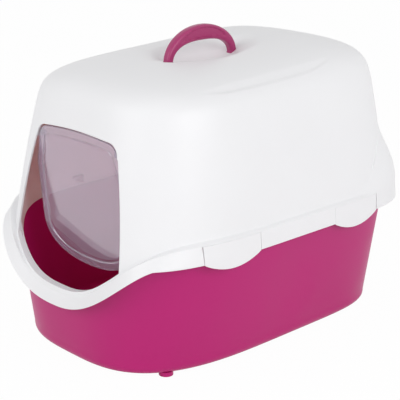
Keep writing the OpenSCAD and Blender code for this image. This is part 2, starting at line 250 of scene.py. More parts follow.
def plate(name, outline, centre, mid, normal, half, edge, face=None, back=None, insets=()):
    """Plate with rounded edges. Its plan is the outline drawn in towards the centre in rings, mid
    gives the point of its middle surface and normal the direction of its thickness. Half is half
    its thickness and edge the reach of its rounding. Face and back raise its two sides by an
    amount that depends on the distance to the edge; insets are the distances that need rings."""
    span = outline - centre
    far = np.linalg.norm(span, axis=1)
    steps = np.unique(np.concatenate([edge * np.linspace(0, 1, 7) ** 2, insets]))
    # the innermost ring stays a little inside the last inset
    inner = np.linspace(0, 1 - steps[-1] * 1.15 / far.min(), 14)
    rings = [np.full_like(far, v) for v in inner] + [1 - d / far for d in steps[::-1]]
    front, rear = [], []
    for share in rings:
        p = centre + span * share[:, None]
        gap = edge_distance(p, outline)
        depth = half - round_edge(gap, min(edge, half))
        m, n = mid(p), normal(p)
        front.append(m + n * (depth + (face(gap) if face else 0.0))[:, None])
        rear.append(m - n * (depth + (back(gap) if back else 0.0))[:, None])
    return skin(name, front + rear[::-1])


def revolve(profile, place, cols=48):
    """Rings of a turned shape: profile is rows of (distance along the axis, radius), and place
    carries (along, across 1, across 2) to a point."""
    q = np.linspace(0, 2 * np.pi, cols, endpoint=False)
    return [place(np.full(cols, a), r * np.cos(q), r * np.sin(q)) for a, r in profile]


def joined(name, objects):
    """One object from several closed ones, in the order given."""
    verts, quads, tris, base = [], [], [], 0
    for obj in objects:
        mesh = obj.data
        co = np.empty(len(mesh.vertices) * 3)
        mesh.vertices.foreach_get("co", co)
        idx = np.empty(len(mesh.loops), int)
        mesh.loops.foreach_get("vertex_index", idx)
        count = np.empty(len(mesh.polygons), int)
        mesh.polygons.foreach_get("loop_total", count)
        n4 = int((count == 4).sum()) * 4
        verts.append(co.reshape(-1, 3))
        quads.append(idx[:n4].reshape(-1, 4) + base)
        tris.append(idx[n4:].reshape(-1, 3) + base)
        base += len(verts[-1])
        bpy.data.objects.remove(obj)
        bpy.data.meshes.remove(mesh)
    return mesh_object(name, np.vstack(verts), np.vstack(quads), np.vstack(tris))


def carve(obj, cutters):
    """Cuts the cutters out of obj for good and removes them."""
    for cutter in cutters:
        cut = obj.modifiers.new("cut", "BOOLEAN")
        cut.operation, cut.solver, cut.object = "DIFFERENCE", "EXACT", cutter
    ready = obj.evaluated_get(bpy.context.evaluated_depsgraph_get())
    mesh = bpy.data.meshes.new_from_object(ready)
    obj.modifiers.clear()
    old, obj.data = obj.data, mesh
    mesh.name = obj.name
    bpy.data.meshes.remove(old)
    for cutter in cutters:
        old = cutter.data
        bpy.data.objects.remove(cutter)
        bpy.data.meshes.remove(old)
    finish_shading(mesh)


# ---------------------------------------------------------------- materials


def node(tree, kind, inputs=None, **settings):
    """Adds a node, sets its settings, and fills its inputs with values or links from sockets."""
    made = tree.nodes.new(kind)
    for key, value in settings.items():
        setattr(made, key, value)
    for key, value in (inputs or {}).items():
        if isinstance(value, bpy.types.NodeSocket):
            tree.links.new(value, made.inputs[key])
        else:
            made.inputs[key].default_value = value
    return made


def fresh(name):
    """An empty node material of that name with its output node."""
    mat = bpy.data.materials.new(name)
    mat.use_nodes = True
    mat.node_tree.nodes.clear()
    return mat, mat.node_tree, mat.node_tree.nodes.new("ShaderNodeOutputMaterial")


def per_metre(size):
    """Scale of a noise texture whose features are that many millimetres across."""
    return 1000 / size


def shade_of(rgb, k):
    """The linear colour rgb times k, with an alpha of 1."""
    return tuple(min(v * k, 1) for v in rgb) + (1.0,)


def moulded_polypropylene(name, rgb, spread, rough=(0.36, 0.46), shine=0.5, through=0.0):
    """Injection moulded polypropylene: a waxy sheen from a fine spark-eroded grain, with very
    slow clouds of tone where the melt cooled unevenly. The share through of the light passes the
    thin wall, so that a white cover glows softly on its inside."""
    mat, tree, out = fresh(name)
    where = node(tree, "ShaderNodeTexCoord").outputs["Object"]
    # clouds 90.9 mm across, where the wall shrank
    cloud = node(tree, "ShaderNodeTexNoise", {"Vector": where, "Scale": per_metre(90.9),
                                              "Detail": 3.0}).outputs["Fac"]
    # grain of 0.8 mm; the real one is near 0.1 mm, drawn coarser so that it shows
    fine = node(tree, "ShaderNodeTexNoise", {"Vector": where, "Scale": per_metre(0.8),
                                             "Detail": 2.0}).outputs["Fac"]
    tone = node(tree, "ShaderNodeMix", {0: cloud, 6: shade_of(rgb, 1 - spread),
                                        7: shade_of(rgb, 1 + spread)}, data_type="RGBA").outputs[2]
    sheen = node(tree, "ShaderNodeMapRange", {"Value": cloud, "From Min": 0.35, "From Max": 0.65,
                                              "To Min": rough[0], "To Max": rough[1]}).outputs[0]
    bump = node(tree, "ShaderNodeBump", {"Height": fine, "Strength": 0.05, "Distance": 0.0004}).outputs[0]
    shader = node(tree, "ShaderNodeBsdfPrincipled", {"Base Color": tone, "Roughness": sheen, "Normal": bump,
                                                     "IOR": 1.49, "Specular IOR Level": shine})
    passing = node(tree, "ShaderNodeBsdfTranslucent", {"Color": shade_of(rgb, 1), "Normal": bump})
    both = node(tree, "ShaderNodeMixShader", {0: through, 1: shader.outputs[0], 2: passing.outputs[0]})
    tree.links.new(both.outputs[0], out.inputs["Surface"])
    return mat


def tinted_styrene(name, rgb):
    """Clear styrene with a lilac tint, moulded smooth: it reflects sharply, and what lies behind
    it shows through, a little bent by a slow ripple."""
    mat, tree, out = fresh(name)
    where = node(tree, "ShaderNodeTexCoord").outputs["Object"]
    # flow clouds 62.5 mm across
    cloud = node(tree, "ShaderNodeTexNoise", {"Vector": where, "Scale": per_metre(62.5),
                                              "Detail": 2.0}).outputs["Fac"]
    tone = node(tree, "ShaderNodeMix", {0: cloud, 6: shade_of(rgb, 0.97), 7: shade_of(rgb, 1.03)},
                data_type="RGBA").outputs[2]
    # ripple of 30.3 mm where the thin panel has shrunk a little unevenly
    ripple = node(tree, "ShaderNodeTexNoise", {"Vector": where, "Scale": per_metre(30.3),
                                               "Detail": 1.0}).outputs["Fac"]
    bump = node(tree, "ShaderNodeBump", {"Height": ripple, "Strength": 0.1, "Distance": 0.0006}).outputs[0]
    shader = node(tree, "ShaderNodeBsdfPrincipled", {"Base Color": tone, "Roughness": 0.05, "IOR": 1.59,
                                                     "Specular IOR Level": 1.0, "Coat Weight": 1.0,
                                                     "Transmission Weight": 0.78, "Normal": bump})
    tree.links.new(shader.outputs[0], out.inputs["Surface"])
    return mat


MATERIALS = {}


def material(key):
    """The material of that key, made on first use from the colour properties."""
    if key not in MATERIALS:
        c = bpy.context.scene.litter_box_colours
        white, magenta = "White moulded polypropylene", "Magenta moulded polypropylene"
        made = {
            "hood": lambda: moulded_polypropylene(white, c.hood, 0.012, through=0.05),
            "tray": lambda: moulded_polypropylene(magenta, c.tray, 0.05, shine=0.32),
            "handle": lambda: moulded_polypropylene("Magenta handle polypropylene", c.handle, 0.05,
                                                    rough=(0.26, 0.34)),
            "door": lambda: tinted_styrene("Lilac tinted styrene", c.door),
        }
        MATERIALS[key] = made[key]()
    return MATERIALS[key]


def dress(obj, key, body, *nodes):
    """Gives a piece its material and its body, and hides the solids of the imported model that it stands
    for.
    """
    obj.data.materials.clear()
    obj.data.materials.append(material(key))
    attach(obj, body)
    if nodes:
        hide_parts(*nodes)


def coat(key, *nodes):
    """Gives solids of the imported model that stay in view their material."""
    for name in nodes:
        obj = frame["nodes"][name]
        for slot in obj.material_slots:
            slot.link = "OBJECT"
            slot.material = material(key)


# ---------------------------------------------------------------- hood

# Exponents of the plans' superellipses, for the front half and for the rear half
SKIRT_N = (3.8, 5.3)
WALL_N = (3.53, 6.12)
# Wall at the ledge in mm, its lean in mm per mm of height and its bow in mm per mm squared:
# half width, front length and rear length
WALL_BASE = (192.65, 255.87, 246.0)
WALL_LEAN = (0.1205, 0.1755, 0.09)
WALL_BOW = (0.00029, 0.000208, 0.000045)
# Inset of the ridge from the skirt's lower edge, at the sides, the front and the rear
RIDGE_IN = (1.5, 10.0, 2.0)
# Height of the half round that closes the skirt's lower edge
EDGE_ROUND = 1.1
# Ledge under the entrance: inset of its bell from the skirt, and the bell's two powers
SILL_IN = 1
SILL_POWERS = (2.7, 2.5)
# Skirt's lower edge under the entrance: half width and powers of its bell
LIP_HALF_W = 164
LIP_POWERS = (2.35, 1.3)
# Rear flare: where it starts along Y, the run in which it rises, and the ridge's own rise
FLARE_START = 150
FLARE_RUN = 110
REAR_CREST_RISE = 2
# Share of the wall's thickness by which the inner face's ridge and ledge lie lower
INNER_DROP = 0.9
# Exponent of the quarter that rounds the walls over, and the degrees of it that are stepped by angle
CROWN_N = 5.69
ROUND_END = 72
# Roof: its fall at ROOF_SIDE from the middle, and its rise and curve at ROOF_REAR
ROOF_FALL, ROOF_SIDE = 11.8, 165
ROOF_RISE, ROOF_CURVE, ROOF_REAR = 12.8, 2.1, 220
# Shoulder facet: middle and half length along Y, the share of that in which it fades out, inner
# edge, width, least width, depth, and the shares of the width where it is deepest and comes back
FACET_Y, FACET_HALF_L, FACET_FADE = -5, 132, 0.4
FACET_X, FACET_W, FACET_LEAST_W = 136, 14, 4
FACET_DEPTH, FACET_DEEPEST, FACET_RETURN = 2.3, 0.85, 0.5
# Share of the handle hollow that its slope takes
HOLLOW_SLOPE = 0.8
# Guide flange, ring by ring: inset from the tray's outer face and depth below the ledge. Then the
# least share of it, which is left at the rear, and its distance inside the wall there
GUIDE_RINGS = ((3.7, 1.5), (3.7, 17.0), (3.9, 18.6), (5.1, 18.6), (5.3, 17.0), (5.3, 1.0))
GUIDE_LEAST = 0.03
GUIDE_OFF = 0.2
# Numbers of rings of the outer and the inner face: skirt, ledge, wall, shoulder, roof, handle hollow
OUTER_STEPS = (8, 19, 25, 61, 17, 45)
INNER_STEPS = (5, 9, 9, 17, 4, 14)

# Entrance: height at which its half width is given, how fast it widens below and how that slows
ENTRY_REF, ENTRY_WIDEN, ENTRY_BOW = 309, 0.282, 0.000723
# Fall of the entrance's and the door's arch at ARCH_X from the middle
ARCH_FALL, ARCH_X = 5.5, 80
# Distance of the upper corner's centre inside the entrance's side, beyond its radius
CORNER_IN = 0.6
# Sill: it follows the ledge read this much further out, lies this far above it, and meets the
# entrance's sides at about this height
SILL_REACH = 1.055
SILL_UP = 1
SILL_END_Z = 155
# Cutter of the entrance: its front and rear along Y, and the height of its end poles
ENTRY_CUT_Y = (-310, -150)
ENTRY_CUT_MID = 230.0
# Bead round the entrance: radius, and how far it is moved into the wall
BEAD_R = 1.5
BEAD_IN = 1.3
# Notch of a tab: its near and far end along the side, its lower end, its gap to the ridge above,
# and the inner and outer side of its cutter
NOTCH_Y = (75.7, 172.8)
NOTCH_LOW = 120.0
NOTCH_GAP = 0.1
NOTCH_X = (183, 237)


def sill_curve(g, x):
    """Drop of the ledge under the entrance at the half width x."""
    return g.sill_dip * bell(x, g.skirt_half_w - SILL_IN, SILL_POWERS)


def skirt_plan(g, q, off):
    """Plan of the skirt's lower edge, off inside its outer face."""
    return plan(q, g.skirt_half_w - off, g.skirt_half_l - off, g.skirt_half_l - off, SKIRT_N)


def ridge_plan(g, q, off):
    """Plan of the ridge at the top of the skirt, a little inside it, and further in at the front."""
    x, y = skirt_plan(g, q, 0)
    f = np.where(y < 0, np.abs(y / g.skirt_half_l) ** SKIRT_N[0], 0)
    side, front, rear = RIDGE_IN
    return plan(q, g.skirt_half_w - side - off - front * f, g.skirt_half_l - front - off,
                g.skirt_half_l - rear - off, SKIRT_N)


def wall_sizes(g, z, off):
    """Half width, front length and rear length of the wall at the height z: it leans in and bows."""
    d = z - g.ledge_z
    return [b - off - k * d - c * d * d for b, k, c in zip(WALL_BASE, WALL_LEAN, WALL_BOW)]


def wall_plan(g, q, z, off):
    """Plan of the leaning wall at the height z."""
    return plan(q, *wall_sizes(g, z, off), WALL_N)


def top_z(g, x, y):
    """Height of the roof: it falls to the sides and rises towards the rear."""
    rear = y / ROOF_REAR
    return g.crown_top - ROOF_FALL * (x / ROOF_SIDE) ** 2 + ROOF_RISE * rear + ROOF_CURVE * rear ** 2


def crown(g, q, f, off):
    """Crown point at the share f from the middle to the wall: a superellipse quarter."""
    x, y = wall_plan(g, q, g.crown_top, off)
    z = mix(g.crown_start, top_z(g, x * f, y * f) - off, np.maximum(1 - f ** CROWN_N, 0) ** (1 / CROWN_N))
    x, y = wall_plan(g, q, z, off)
    return x * f, y * f, z


def shoulder_facet(x, y):
    """Depth of the long leaf-shaped facet on each shoulder: it falls slowly from a straight inner
    edge to a bowed outer edge and comes back quickly, fading out at both ends."""
    s = (y - FACET_Y) / FACET_HALF_L
    width = FACET_W * (1 - np.minimum(s ** 4, 0.9))
    u = (np.abs(x) - FACET_X) / np.maximum(width, FACET_LEAST_W)
    back = smooth((u - FACET_DEEPEST) / FACET_RETURN)
    return FACET_DEPTH * smooth((1 - np.abs(s)) / FACET_FADE) * smooth(u / FACET_DEEPEST) * (1 - back)


def well_share(g, q, off):
    """Share f at which the edge of the handle hollow is met."""
    x, y = wall_plan(g, q, g.crown_top, off)
    return 1 / np.hypot(x / (g.well_half_w + off), y / (g.well_half_l + off))


def lip_z(g, x, y):
    """Height of the skirt's lower edge: it dips in a bell under the entrance."""
    return g.skirt_low - np.where(y < 0, g.lip_dip * bell(x, LIP_HALF_W, LIP_POWERS), 0)


def guide_flange(g, q, foot, rise, off):
    """Rings of the flange that hangs from the ledge inside the tray and guides the hood on: down its
    outer side, round its lower edge and up again. It fades out towards the rear flare."""
    keep = np.maximum(1 - rise, GUIDE_LEAST)
    rows = []
    for inset, depth in GUIDE_RINGS:
        z = foot - depth * keep
        xw, yw = wall_plan(g, q, foot, off + GUIDE_OFF)
        xt, yt = tray_plan(g, q, z, -inset)
        rows.append(ring(mix(xw, xt, keep), mix(yw, yt, keep), z))
    return rows


def hood_rows(g, off, q, outside):
    """Rings of one face of the hood from the skirt's edge to the pole in the handle hollow. The
    outer face has more rings and the shoulder facets, the inner face has the guide flange."""
    skirt, ledge, wall, shoulder, roof, hollow = OUTER_STEPS if outside else INNER_STEPS
    x0, y0 = skirt_plan(g, q, 0)
    rise = smooth((y0 - FLARE_START) / FLARE_RUN)
    drop = np.where(y0 < 0, sill_curve(g, x0), 0)
    crest = g.crest_z - drop + REAR_CREST_RISE * rise - INNER_DROP * off
    foot = g.ledge_z - drop + (g.rear_ledge_z - g.ledge_z) * rise - INNER_DROP * off
    xs, ys = skirt_plan(g, q, off)
    xr, yr = ridge_plan(g, q, off)
    rows = []

    def add_roof(f):
        x, y, z = crown(g, q, f, off)
        rows.append(ring(x, y, z - shoulder_facet(x, y) if outside else z))

    for v in np.linspace(0, 1, skirt):
        rows.append(ring(mix(xs, xr, v), mix(ys, yr, v), mix(lip_z(g, x0, y0) + EDGE_ROUND, crest, v)))
    for v in np.linspace(0, 1, ledge)[1:]:
        z = mix(crest, foot, v)
        xw, yw = wall_plan(g, q, z, off)
        rows.append(ring(mix(xr, xw, smooth(v)), mix(yr, yw, smooth(v)), z))
    if not outside:
        rows += guide_flange(g, q, foot, rise, off)
    for v in np.linspace(0, 1, wall)[1:]:
        z = mix(foot, g.crown_start, v)
        rows.append(ring(*wall_plan(g, q, z, off), z))
    for a in np.radians(np.linspace(0, ROUND_END, shoulder)[1:]):
        add_roof(np.full_like(q, math.cos(a) ** (2 / CROWN_N)))
    rounded, edge = math.cos(math.radians(ROUND_END)) ** (2 / CROWN_N), well_share(g, q, off)
    for v in np.linspace(0, 1, roof)[1:]:
        add_roof(mix(rounded, edge, v))
    bottom = g.crown_top - g.well_depth - off
    for r in np.concatenate([np.linspace(1, 0.1, hollow)[1:], [0.05, 0]]):
        x, y, z = crown(g, q, edge * r, off)
        rows.append(ring(x, y, mix(z, bottom, smooth((1 - r) / HOLLOW_SLOPE))))
    return rows


def skirt_edge(g, q):
    """Half round that closes the skirt's lower edge from the inner to the outer face."""
    low = lip_z(g, *skirt_plan(g, q, 0))
    rows = []
    for a in np.linspace(-75, 75, 7):
        s, c = math.sin(math.radians(a)), math.cos(math.radians(a))
        x, y = skirt_plan(g, q, g.hood_th / 2 * (1 - s))
        rows.append(ring(x, y, low + EDGE_ROUND * (1 - c)))
    return rows


def entry_half(g, z):
    """Half width of the entrance at the height z: it widens downwards, a little bowed."""
    u = ENTRY_REF - z
    return g.entry_half_top + ENTRY_WIDEN * u - ENTRY_BOW * u * u


def arch_z(top, x):
    """Height of an arch whose top is given, at x from the middle: a parabola."""
    return top - ARCH_FALL * (x / ARCH_X) ** 2


def arched_top(top, cx, r, corner_steps, arch_steps):
    """Corner of radius r round a centre at cx, then the arch from it to the middle, as x and z."""
    cz = arch_z(top, cx) - r
    a = np.radians(np.linspace(5, 85, corner_steps))
    corner = np.stack([cx + r * np.cos(a), cz + r * np.sin(a)], -1)
    x = np.linspace(cx, 0, arch_steps)
    return np.vstack([corner, np.stack([x, arch_z(top, x)], -1)])


def sill_z(g, x):
    """Height of the entrance's sill at x from the middle."""
    return g.ledge_z - sill_curve(g, SILL_REACH * x) + SILL_UP


def entry_outline(g):
    """Right half of the entrance's outline as x and z: its side from the sill up, and its top."""
    cx = entry_half(g, g.entry_top - g.entry_corner) - g.entry_corner - CORNER_IN
    z = np.linspace(sill_z(g, entry_half(g, SILL_END_Z)), arch_z(g.entry_top, cx) - g.entry_corner, 40)
    side = np.stack([entry_half(g, z), z], -1)
    return side, arched_top(g.entry_top, cx, g.entry_corner, 15, 24)


def wall_y(g, x, z, off):
    """Place of the front wall along Y at x and z, off inside its outer face."""
    a, b, _ = wall_sizes(g, z, off)
    return -b * (1 - np.minimum(np.abs(x) / a, 1) ** WALL_N[0]) ** (1 / WALL_N[0])


def mirrored(half):
    """Closed outline from a right half that runs from the bottom middle to the top middle."""
    left = half[::-1][1:-1] * (-1, 1)
    return np.vstack([half, left])


def entrance_cutter(g):
    """Prism of the entrance, from in front of the wall to behind it."""
    side, top = entry_outline(g)
    x = np.linspace(0, side[0, 0], 40)[:-1]
    sill = np.stack([x, sill_z(g, x)], -1)
    x, z = mirrored(np.vstack([sill, side, top])).T
    rows = [ring(x, y, z) for y in ENTRY_CUT_Y]
    poles = [(0.0, y, ENTRY_CUT_MID) for y in ENTRY_CUT_Y]
    return skin("entrance_cutter", capped(rows, *poles))


def notch_cutter(g, side, end):
    """Block that opens the skirt for a tab, its two flat sides drawn 1 mm out to a point."""
    near, far = NOTCH_Y
    y = np.array([near, far, far, near]) * end
    z = np.array([NOTCH_LOW, NOTCH_LOW, g.crest_z - NOTCH_GAP, g.crest_z - NOTCH_GAP])
    inner, outer = NOTCH_X
    poles = [(side * x, y.mean(), z.mean()) for x in (inner - 1, outer + 1)]
    return skin("notch_cutter", capped([ring(side * x, y, z) for x in NOTCH_X], *poles))


def entrance_bead(g):
    """Round bead along the entrance's raw edge above the sill: a circle carried along the outline,
    moved into the wall so that it hardly narrows the entrance."""
    side, top = entry_outline(g)
    half = np.vstack([side, top])
    o = np.vstack([half, half[::-1][1:] * (-1, 1)])
    run = np.gradient(o, axis=0)
    o = o + BEAD_IN * np.stack([run[:, 1], -run[:, 0]], -1) / np.linalg.norm(run, axis=1)[:, None]
    return tube(ring(o[:, 0], wall_y(g, o[:, 0], o[:, 1], g.hood_th / 2), o[:, 1]), BEAD_R, 16)


def tube(path, radius, cols):
    """Rings of a round tube along a path that never runs along Y, its ends drawn to a point."""
    run = np.gradient(path, axis=0)
    run /= np.linalg.norm(run, axis=1)[:, None]
    a = np.cross(run, np.array([0.0, 1.0, 0.0]))
    a /= np.linalg.norm(a, axis=1)[:, None]
    b = np.cross(run, a)
    q = np.linspace(0, 2 * np.pi, cols, endpoint=False)[:, None]
    rows = path[:, None] + radius * (a[:, None] * np.cos(q) + b[:, None] * np.sin(q))
    return capped(rows, path[0], path[-1])


class LITTERBOX_OT_hood(Operator):
    """Builds the hood with its skirt, rear flare, entrance and handle hollow"""
    bl_idname = "litterbox.hood"
    bl_label = "Hood"

    def execute(self, context):
        g = millimetres()
        outer = hood_rows(g, 0.0, TURN, True)
        inner = hood_rows(g, g.hood_th, TURN, False)
        rows = inner[::-1] + skirt_edge(g, TURN) + outer
        obj = skin("hood_shell", rows)
        carve(obj, [entrance_cutter(g)] + [notch_cutter(g, s, e) for s in (-1, 1) for e in (-1, 1)])
        dress(obj, "hood", "hood", "hood")
        bead = skin("entrance_bead", entrance_bead(g))
        dress(bead, "hood", "hood")
        coat("hood", "door_socket_left", "door_socket_right", "handle_socket_front", "handle_socket_rear")
        return {"FINISHED"}


# ---------------------------------------------------------------- tabs

# Flap: reach above its solid's top, drop and power of its rounded lower edge, middle height,
# inset of its middle surface from the skirt's face, half thickness, rounding and inner rings
FLAP_UP = 0.35
FLAP_DROP, FLAP_POWER = 13.2, 0.8
FLAP_MID_Z = 178.0
FLAP_MID_IN = 1.25
FLAP_HALF = 1.2
FLAP_EDGE = 0.3
FLAP_INSETS = (3.0, 8.0)


def skirt_x(g, y, z):
    """Outer face of the skirt at a place along the side and a height."""
    m = np.where(y < 0, SKIRT_N[0], SKIRT_N[1])
    f = np.abs(y / g.skirt_half_l) ** m
    v = np.clip((z - g.skirt_low) / (g.crest_z - g.skirt_low), 0, 1)
    inset = RIDGE_IN[0] + RIDGE_IN[1] * np.where(y < 0, f, 0)
    return (g.skirt_half_w - inset * v) * (1 - f) ** (1 / m)


def flap_outline(g, near, far, top):
    """Closed outline of a tab along Y and Z: a rounded lower edge between two upright ends."""
    u = np.linspace(0, 1, 80)
    low = np.stack([mix(near, far, u), g.skirt_low - FLAP_DROP * np.sin(np.pi * u) ** FLAP_POWER], -1)
    rise = np.linspace(0, 1, 14)[1:-1, None]
    far_end = mix(low[-1], np.array([far, top]), rise)
    upper = np.stack([np.linspace(far, near, 80), np.full(80, top)], -1)
    near_end = mix(np.array([near, top]), low[0], rise)
    return np.vstack([low, far_end, upper, near_end])


class LITTERBOX_OT_tabs(Operator):
    """Builds the four spring tabs in the notches of the skirt"""
    bl_idname = "litterbox.tabs"
    bl_label = "Spring tabs"

    def execute(self, context):
        g = millimetres()
        near, far = TAB_LOW[1] * 1000, TAB_HIGH[1] * 1000
        outline = flap_outline(g, near, far, TAB_HIGH[2] * 1000 + FLAP_UP)
        centre = np.array([(near + far) / 2, FLAP_MID_Z])
        for end, word in ((-1, "front"), (1, "rear")):
            for side, hand in ((-1, "left"), (1, "right")):
                name = f"tab_{word}_{hand}"

                def mid(p):
                    y, z = p[:, 0] * end, p[:, 1]
                    return ring(side * (skirt_x(g, y, z) - FLAP_MID_IN), y, z)

                def outward(p):
                    return np.tile([side * 1.0, 0.0, 0.0], (len(p), 1))

                obj = plate(f"{name}_flap", outline, centre, mid, outward, FLAP_HALF, FLAP_EDGE,
                            insets=FLAP_INSETS)
                dress(obj, "hood", name, name)
        return {"FINISHED"}


# ---------------------------------------------------------------- tray

# Exponents of the tray's plan, for the front half and for the rear half
TRAY_N = (3.15, 5.8)
# Radius and exponent of the rounding between wall and floor
BASE_R, BASE_N = 17.2, 2.78
# Lean of the wall in mm per mm of height: sides, front and rear
TRAY_LEAN = (0.13, 0.099, 0.079)
# Height of the plan from which the dip of the rim is read
RIM_PLAN_Z = 160
# Height of the rim's bead, and its rings: reach outside the wall and height, above the bead's
# lower edge and then above the rim
RIM_DEPTH = 6
RIM_LOWER = ((0.0, 0.1), (1.9, 0.3), (2.5, 0.6), (2.7, 1.2))
RIM_UPPER = ((2.7, -1.2), (2.4, -0.5), (1.8, -0.1), (1.0, 0.0), (-1.2, 0.0), (-2.0, -0.2), (-2.5, -0.8))


def tray_plan(g, q, z, off):
    """Plan of the tray's leaning wall at the height z, off outside its outer face."""
    d = z - g.tray_low - BASE_R
    side, front, rear = TRAY_LEAN
    return plan(q, g.tray_half_w + off + side * d, g.tray_front + off + front * d,
                g.tray_rear + off + rear * d, TRAY_N)


def tray_rim(g, q):
    """Height of the rim: level along the sides and the rear, dipping under the entrance."""
    x, y = tray_plan(g, q, RIM_PLAN_Z, 0)
    return g.rim_z - np.where(y < 0, sill_curve(g, x), 0)


def tray_rows(g, q, off, steps):
    """Rings of one face of the tray from its pole up to the bead's lower edge."""
    z0, r = g.tray_low + BASE_R, BASE_R + off
    rows = [ring(0 * q, 0 * q, g.tray_low - off)]
    for a in np.radians(np.linspace(0, 90, 17)):
        inset = r * (1 - math.sin(a) ** (2 / BASE_N))
        z = z0 - r * math.cos(a) ** (2 / BASE_N)
        rows.append(ring(*tray_plan(g, q, z0, off - inset), z))
    low = tray_rim(g, q) - RIM_DEPTH
    for v in np.linspace(0, 1, steps)[1:]:
        z = mix(z0, low, v)
        rows.append(ring(*tray_plan(g, q, z, off), z))
    return rows


class LITTERBOX_OT_tray(Operator):
    """Builds the tray with its rim bead"""
    bl_idname = "litterbox.tray"
    bl_label = "Tray"

    def execute(self, context):
        g = millimetres()
        rim = tray_rim(g, TURN)
        rows = tray_rows(g, TURN, 0.0, 24)
        for level, profile in ((rim - RIM_DEPTH, RIM_LOWER), (rim, RIM_UPPER)):
            for off, up in profile:
                rows.append(ring(*tray_plan(g, TURN, level + up, off), level + up))
        obj = skin("tray_basin", rows + tray_rows(g, TURN, -g.tray_th, 16)[::-1])
        dress(obj, "tray", "tray", "tray")
        coat("tray", "foot_front_left", "foot_front_right", "foot_rear_left", "foot_rear_right")
        return {"FINISHED"}


# ---------------------------------------------------------------- door

# Middle surface of the closed door: height at which its front face is DOOR_TOP_Y before the
# middle of the box, and its lean
DOOR_REF = 316.0
DOOR_TOP_Y = 228.2
DOOR_LEAN = math.radians(5)
# Gap beside the door, the further gap beside its pins, and where and in what run that starts
DOOR_GAP = 1.2
PIVOT_GAP, PIVOT_START, PIVOT_RUN = 1.9, 258, 30
# Gap between the door's arch and the entrance's, and the radius of the door's upper corners
DOOR_TOP_GAP = 2
DOOR_CORNER = 22.0
# Superellipse that ends the door below: height of its middle, depth and exponent
BELLY_Z, BELLY_DEPTH, BELLY_N = 183.0, 56.0, 2.3
# Height of the point that the panel's rings draw in to, and the rounding of its edge
PANEL_MID_Z = 222.0
PANEL_EDGE = 0.7
# Pressed channel: distance from the edge, half width and depth
CHANNEL_IN, CHANNEL_HALF, CHANNEL_DEPTH = 12, 1.8, 1.1
# Flange behind the edge: depth, thickness and the run of its step
RIM_FLANGE_DEPTH, RIM_FLANGE_TH, RIM_FLANGE_EASE = 4.0, 1.4, 0.4
# Turned profiles as distance from the middle of the box and radius
DOOR_PIN = ((79, 0), (79, 1.6), (79.4, 2), (92.3, 2), (92.9, 1.4), (92.9, 0))
DOOR_EAR = ((78.5, 0), (78.5, 3.4), (79.1, 4), (82.9, 4), (83.5, 3.4), (83.5, 0))
# Web that joins an ear to the panel: its two sides, its front end and its half height
WEB_X = (78.6, 83.4)
WEB_FRONT_Y = -226.4
WEB_HALF = 3.8


def door_half(g, z):
    """Half width of the door panel: just inside the entrance, and narrower beside the pins."""
    pivot = PIVOT_GAP * smooth((z - PIVOT_START) / PIVOT_RUN)
    return np.minimum(g.door_half_w, entry_half(g, z) - DOOR_GAP - pivot)


def door_outline(g):
    """Closed outline of the door panel in X and Z: a superellipse below, an arch above."""
    top = g.entry_top - DOOR_TOP_GAP
    cx = door_half(g, top - DOOR_CORNER) - DOOR_CORNER
    a = np.linspace(0, np.pi / 2, 60)[:-1]
    belly = np.stack([g.door_half_w * np.sin(a) ** (2 / BELLY_N),
                      BELLY_Z - BELLY_DEPTH * np.cos(a) ** (2 / BELLY_N)], -1)
    z = np.linspace(BELLY_Z, arch_z(top, cx) - DOOR_CORNER, 60)
    side = np.stack([door_half(g, z), z], -1)
    return mirrored(np.vstack([belly, side, arched_top(top, cx, DOOR_CORNER, 20, 30)]))


def channel(gap):
    """Pressed channel all round the panel: a round groove at its distance from the edge."""
    return -CHANNEL_DEPTH * smooth(1 - np.abs(gap - CHANNEL_IN) / CHANNEL_HALF)


def flange(gap):
    """Back of the panel: the stiffening flange along its edge, and the channel's other side."""
    return RIM_FLANGE_DEPTH * (1 - smooth((gap - RIM_FLANGE_TH) / RIM_FLANGE_EASE)) - channel(gap) * 0.9


def ear_web(place, axis_y):
    """Rings of the block that joins an ear to the panel, from its inner to its outer side."""
    y = np.array([WEB_FRONT_Y - axis_y, 0, 0, WEB_FRONT_Y - axis_y])
    z = np.array([-WEB_HALF, -WEB_HALF, WEB_HALF, WEB_HALF])
    sides = [place(np.full(4, x), y, z) for x in WEB_X]
    return capped(sides, sides[0].mean(0), sides[1].mean(0))


class LITTERBOX_OT_door(Operator):
    """Builds the swing door with its ears and pins"""
    bl_idname = "litterbox.door"
    bl_label = "Swing door"

    def execute(self, context):
        g = millimetres()
        _, axis_y, axis_z = (v * 1000 for v in DOOR_AXIS)

        def mid(p):
            d = p[:, 1] - DOOR_REF
            y = -DOOR_TOP_Y + g.door_th / 2 * math.cos(DOOR_LEAN) - d * math.sin(DOOR_LEAN)
            return ring(p[:, 0], y, DOOR_REF + d * math.cos(DOOR_LEAN))

        def normal(p):
            return np.tile([0.0, -math.cos(DOOR_LEAN), -math.sin(DOOR_LEAN)], (len(p), 1))

        # rings where the flange steps, on the flat beside it, across the channel and inside it
        step = [1.2, 1.4, 1.5, 1.6, 1.7, 1.8, 2.2]
        groove = CHANNEL_IN + CHANNEL_HALF * np.linspace(-1, 1, 13)
        insets = np.concatenate([step, [5.0], groove, [18.0]])
        parts = [plate("panel", door_outline(g), np.array([0.0, PANEL_MID_Z]), mid, normal, g.door_th / 2,
                       PANEL_EDGE, face=channel, back=flange, insets=insets)]
        for side in (-1, 1):
            def place(along, b, c):
                return ring(side * along, axis_y + b, axis_z + c)
            parts.append(skin("pin", revolve(DOOR_PIN, place, 32)))
            parts.append(skin("ear", revolve(DOOR_EAR, place, 40)))
            parts.append(skin("web", ear_web(place, axis_y)))
        obj = joined("door_panel", parts)
        dress(obj, "door", "door", "door")
        return {"FINISHED"}


# ---------------------------------------------------------------- handle

